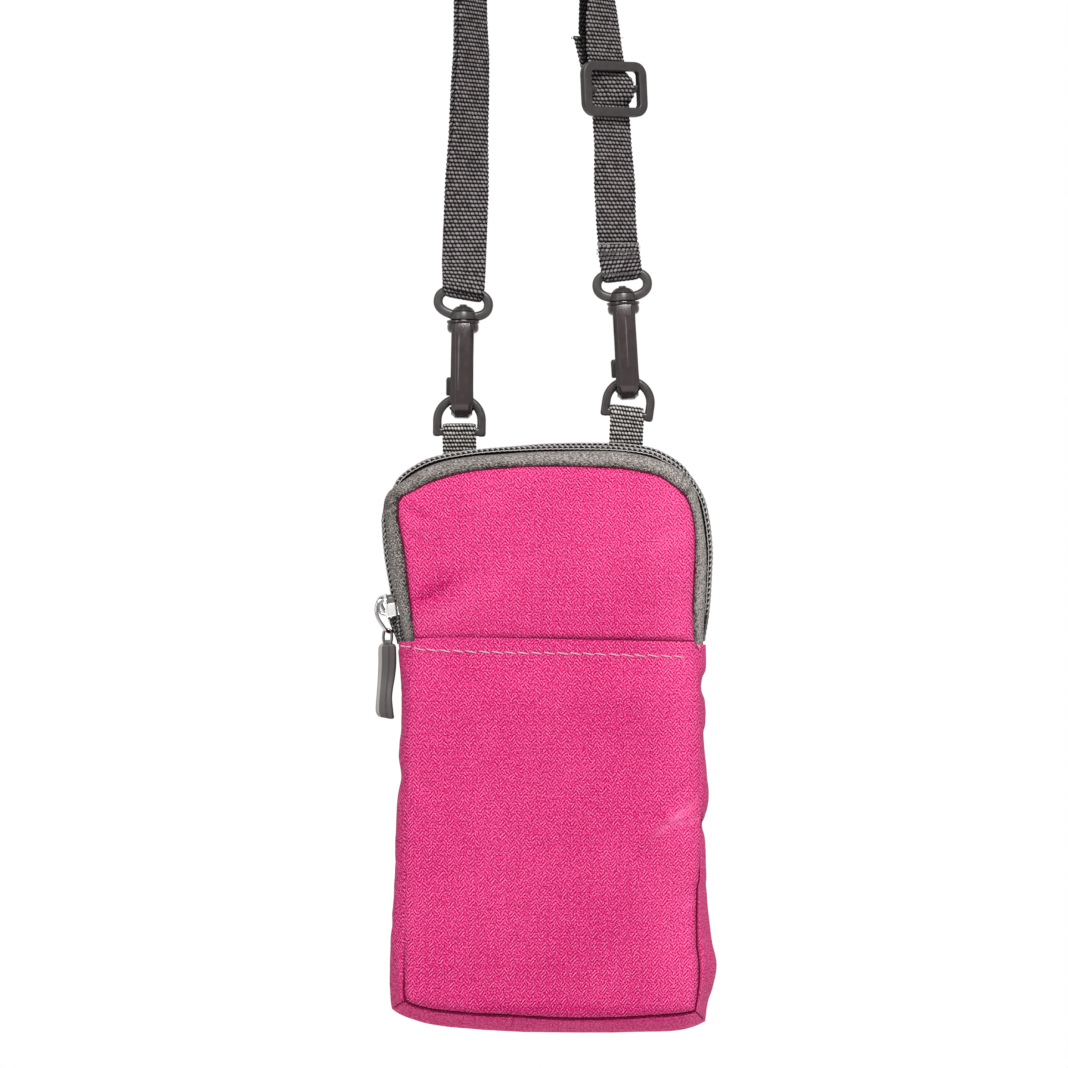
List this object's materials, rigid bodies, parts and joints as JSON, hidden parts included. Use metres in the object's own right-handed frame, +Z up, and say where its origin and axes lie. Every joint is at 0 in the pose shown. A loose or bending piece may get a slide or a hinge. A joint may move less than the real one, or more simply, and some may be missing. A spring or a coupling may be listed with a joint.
{
  "type": "belt pouch",
  "caption": "Slim padded zip pouch with an open front pocket and a belt loop behind, hung by D-rings and swivel trigger hooks from an adjustable webbing strap.",
  "frame": {"origin": "the inside top of the strap loop, where it hangs over a hook, a hand or a shoulder", "axes": "+Z up, the front of the pouch faces -Y, +X to the right of someone who looks at the front"},
  "size_m": [0.1015, 0.04, 0.3528],
  "materials": {
    "strap": "dark grey woven webbing, matt",
    "pink": "pink twill-faced fabric, slight sheen",
    "grey_tape": "soft grey woven tape",
    "tab_web": "grey flecked narrow webbing",
    "lining": "smooth grey lining cloth",
    "foam": "soft open-cell padding",
    "hook_plastic": "satin moulded plastic",
    "coil": "nylon zip coil",
    "chrome": "bright plated metal",
    "gunmetal": "dark plated steel",
    "pull_rubber": "soft moulded rubber, ribbed"
  },
  "bodies": {
    "strap": {"strap_webbing": "strap"},
    "triglide": {"triglide": "hook_plastic", "strap_sewn_end": "strap"},
    "left_ring": {"left_swivel_ring": "hook_plastic"},
    "left_hook": {"left_hook_body": "hook_plastic"},
    "left_gate": {"left_hook_gate": "hook_plastic"},
    "left_dring": {"left_d_ring": "hook_plastic"},
    "right_ring": {"right_swivel_ring": "hook_plastic"},
    "right_hook": {"right_hook_body": "hook_plastic"},
    "right_gate": {"right_hook_gate": "hook_plastic"},
    "right_dring": {"right_d_ring": "hook_plastic"},
    "pouch": {"pocket_panel": "pink", "front_panel_lower": "pink", "front_padding_lower": "foam", "front_lining_lower": "lining", "back_panel": "pink", "back_padding": "foam", "back_lining": "lining", "gusset": "pink", "zip_tape_rear": "grey_tape", "zip_coil_rear": "coil", "zip_stop_left": "gunmetal", "zip_stop_right": "gunmetal", "belt_loop": "strap", "left_webbing_tab": "tab_web", "right_webbing_tab": "tab_web"},
    "flap": {"front_panel_upper": "pink", "front_padding_upper": "foam", "front_lining_upper": "lining", "zip_tape_front": "grey_tape", "zip_coil_front": "coil"},
    "slider": {"slider_body": "chrome"},
    "bail": {"pull_bail": "chrome"},
    "pull": {"pull_link": "gunmetal", "pull_tab": "pull_rubber"}
  },
  "joints": [
    {"name": "triglide_slide", "type": "slide", "parent": "strap", "child": "triglide", "axis": [-0.069, 0, 0.9976], "range_m": [-0.008, 0.01], "deforming": ["strap_sewn_end"]},
    {"name": "left_ring_swing", "type": "hinge", "parent": "strap", "child": "left_ring", "pos_m": [-0.0215, 0, -0.12769], "axis": [0.9938, 0, 0.1109], "range_deg": [-10, 10]},
    {"name": "left_hook_swivel", "type": "hinge", "parent": "left_ring", "child": "left_hook", "pos_m": [-0.02163, 0, -0.13669], "axis": [-0.014, 0, -0.9999], "range_deg": [-15, 15]},
    {"name": "left_gate_open", "type": "hinge", "parent": "left_hook", "child": "left_gate", "pos_m": [-0.02181, 0.0047, -0.14958], "axis": [-1, 0, 0], "range_deg": [0, 20], "stiffness_Nm_per_rad": 0.01, "springref_deg": -11.46},
    {"name": "left_dring_swing", "type": "hinge", "parent": "left_ring", "child": "left_dring", "pos_m": [-0.02196, 0, -0.16038], "axis": [0.9938, 0, 0.1109], "range_deg": [-10, 10]},
    {"name": "pouch_swing", "type": "hinge", "parent": "left_dring", "child": "pouch", "pos_m": [-0.0221, 0, -0.17038], "axis": [0.9938, 0, 0.1109], "range_deg": [-10, 10]},
    {"name": "right_ring_swing", "type": "hinge", "parent": "strap", "child": "right_ring", "pos_m": [0.02568, 0, -0.12216], "axis": [0.9938, 0, 0.1109], "range_deg": [-10, 10]},
    {"name": "right_hook_swivel", "type": "hinge", "parent": "right_ring", "child": "right_hook", "pos_m": [0.02615, 0, -0.13115], "axis": [0.0523, 0, -0.9986], "range_deg": [-15, 15]},
    {"name": "right_gate_open", "type": "hinge", "parent": "right_hook", "child": "right_gate", "pos_m": [0.02683, 0.0047, -0.14403], "axis": [-1, 0, 0], "range_deg": [0, 20], "stiffness_Nm_per_rad": 0.01, "springref_deg": -11.46},
    {"name": "right_dring_swing", "type": "hinge", "parent": "pouch", "child": "right_dring", "pos_m": [0.02792, 0, -0.1648], "axis": [0.9938, 0, 0.1109], "range_deg": [-10, 10]},
    {"name": "flap_open", "type": "hinge", "parent": "pouch", "child": "flap", "pos_m": [0.00517, -0.0117, -0.23221], "axis": [1, 0, 0], "range_deg": [0, 45]},
    {"name": "zip_slide", "type": "slide", "parent": "pouch", "child": "slider", "axis": [-0.142, 0, 0.9899], "range_m": [-0.004, 0.02]},
    {"name": "pull_bail_swing", "type": "hinge", "parent": "slider", "child": "bail", "pos_m": [-0.04505, -0.0023, -0.22227], "axis": [0, 1, 0], "range_deg": [0, 100]},
    {"name": "pull_tab_swing", "type": "hinge", "parent": "bail", "child": "pull", "pos_m": [-0.04486, -0.0023, -0.22962], "axis": [0, 1, 0], "range_deg": [0, 40]}
  ],
  "couplings": [
    {"joint": "right_ring_swing", "follows": "left_ring_swing", "ratio": 1},
    {"joint": "right_dring_swing", "follows": "pouch_swing", "ratio": -1}
  ]
}
